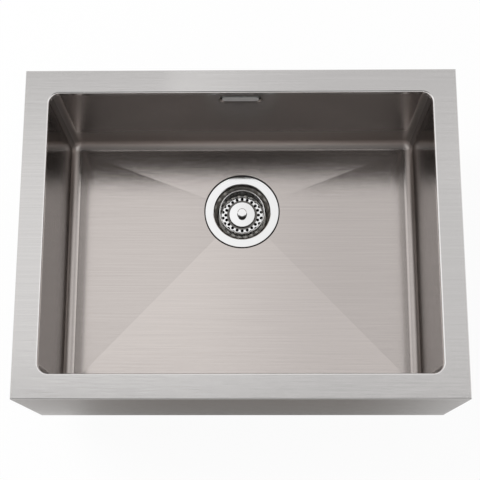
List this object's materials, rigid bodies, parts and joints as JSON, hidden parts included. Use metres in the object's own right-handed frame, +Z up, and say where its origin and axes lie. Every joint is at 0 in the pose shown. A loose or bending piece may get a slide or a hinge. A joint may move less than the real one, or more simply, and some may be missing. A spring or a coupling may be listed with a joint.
{
  "type": "belfast sink",
  "caption": "Rectangular stainless steel sink with a deep apron, a flat rim, a creased bowl floor, a lift-out basket strainer waste and a slotted overflow with its hose.",
  "frame": {"origin": "centre of the flat rim's top face", "axes": "+Z up, out of the bowl; +X to the right along the apron; +Y to the back, so the apron faces -Y"},
  "size_m": [0.595, 0.455, 0.2897],
  "materials": {
    "brushed_steel": "satin, brushed left to right",
    "overflow_steel": "satin, brushed left to right",
    "polished_steel": "mirror polished",
    "fastener_steel": "bright, as turned",
    "black_rubber": "smooth moulded",
    "damping_pad": "matt, slightly grained",
    "white_plastic": "satin moulded",
    "hose_plastic": "satin ribbed",
    "grey_plastic": "satin moulded",
    "brass": "turned"
  },
  "bodies": {
    "root": {"bowl": "brushed_steel", "rim_deck": "brushed_steel", "front_apron": "brushed_steel", "side_panel_left": "brushed_steel", "side_panel_right": "brushed_steel", "pad_wall_left": "damping_pad", "pad_wall_right": "damping_pad", "pad_wall_front": "damping_pad", "pad_floor_left": "damping_pad", "pad_floor_right": "damping_pad", "pad_floor_front": "damping_pad", "overflow_studs": "fastener_steel", "overflow_seal": "black_rubber", "overflow_housing": "white_plastic", "overflow_nuts": "fastener_steel", "overflow_cover": "overflow_steel", "overflow_hose": "hose_plastic", "hose_collar_top": "grey_plastic", "hose_collar_bottom": "grey_plastic", "waste_flange_cup": "polished_steel", "flange_gasket": "black_rubber", "body_gasket": "black_rubber", "waste_body": "white_plastic", "fixing_bolt": "fastener_steel", "bolt_insert": "brass"},
    "clip": {"seat_clip": "brass"},
    "basket": {"basket": "polished_steel", "basket_knob": "polished_steel", "basket_seal": "black_rubber", "seal_washer": "fastener_steel"}
  },
  "joints": [
    {"name": "basket_lift", "type": "slide", "parent": "root", "child": "clip", "axis": [0, 0, 1], "range_m": [0, 0.26]},
    {"name": "basket_turn", "type": "hinge", "parent": "clip", "child": "basket", "pos_m": [0, 0.083, -0.2053], "axis": [0, 0, 1], "continuous": true}
  ]
}
